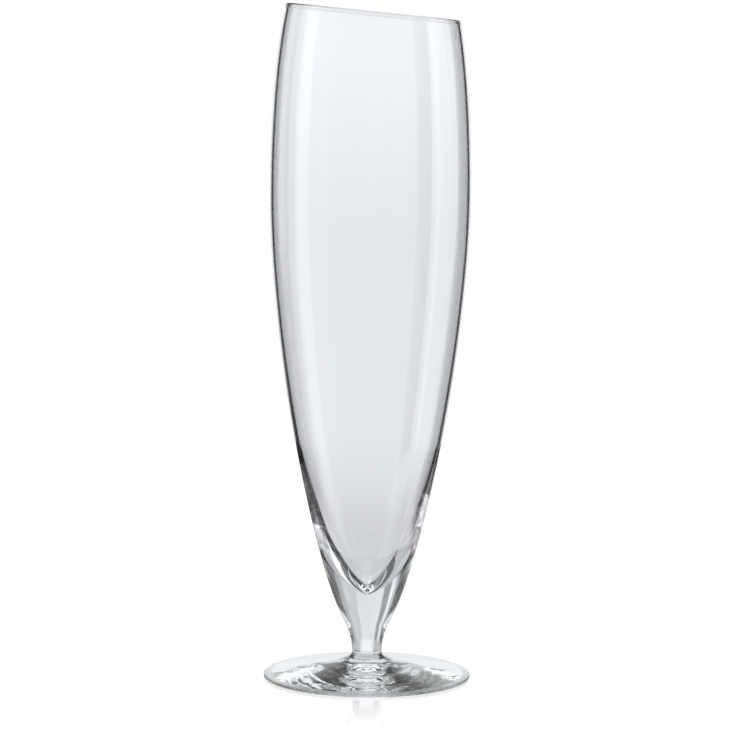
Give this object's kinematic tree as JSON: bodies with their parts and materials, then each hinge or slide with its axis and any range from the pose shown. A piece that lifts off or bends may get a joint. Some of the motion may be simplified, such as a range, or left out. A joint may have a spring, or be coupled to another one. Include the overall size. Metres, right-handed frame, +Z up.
{
  "type": "pilsner glass",
  "caption": "Tall footed beer glass of clear glass, with a slender bowl, a sloping rim, a short drawn stem and a disc foot.",
  "frame": {"origin": "centre of the foot, on the surface that the glass stands on", "axes": "+Z up along the axis of the glass; the rim is high at -X and slopes down towards +X; +Y is away from the viewer of the picture"},
  "size_m": [0.08, 0.08, 0.2595],
  "materials": {
    "bowl_glass": "clear, fire polished",
    "stem_glass": "clear, fire polished",
    "foot_glass": "clear, fire polished"
  },
  "bodies": {
    "root": {"bowl": "bowl_glass", "stem": "stem_glass", "foot": "foot_glass"}
  },
  "joints": []
}
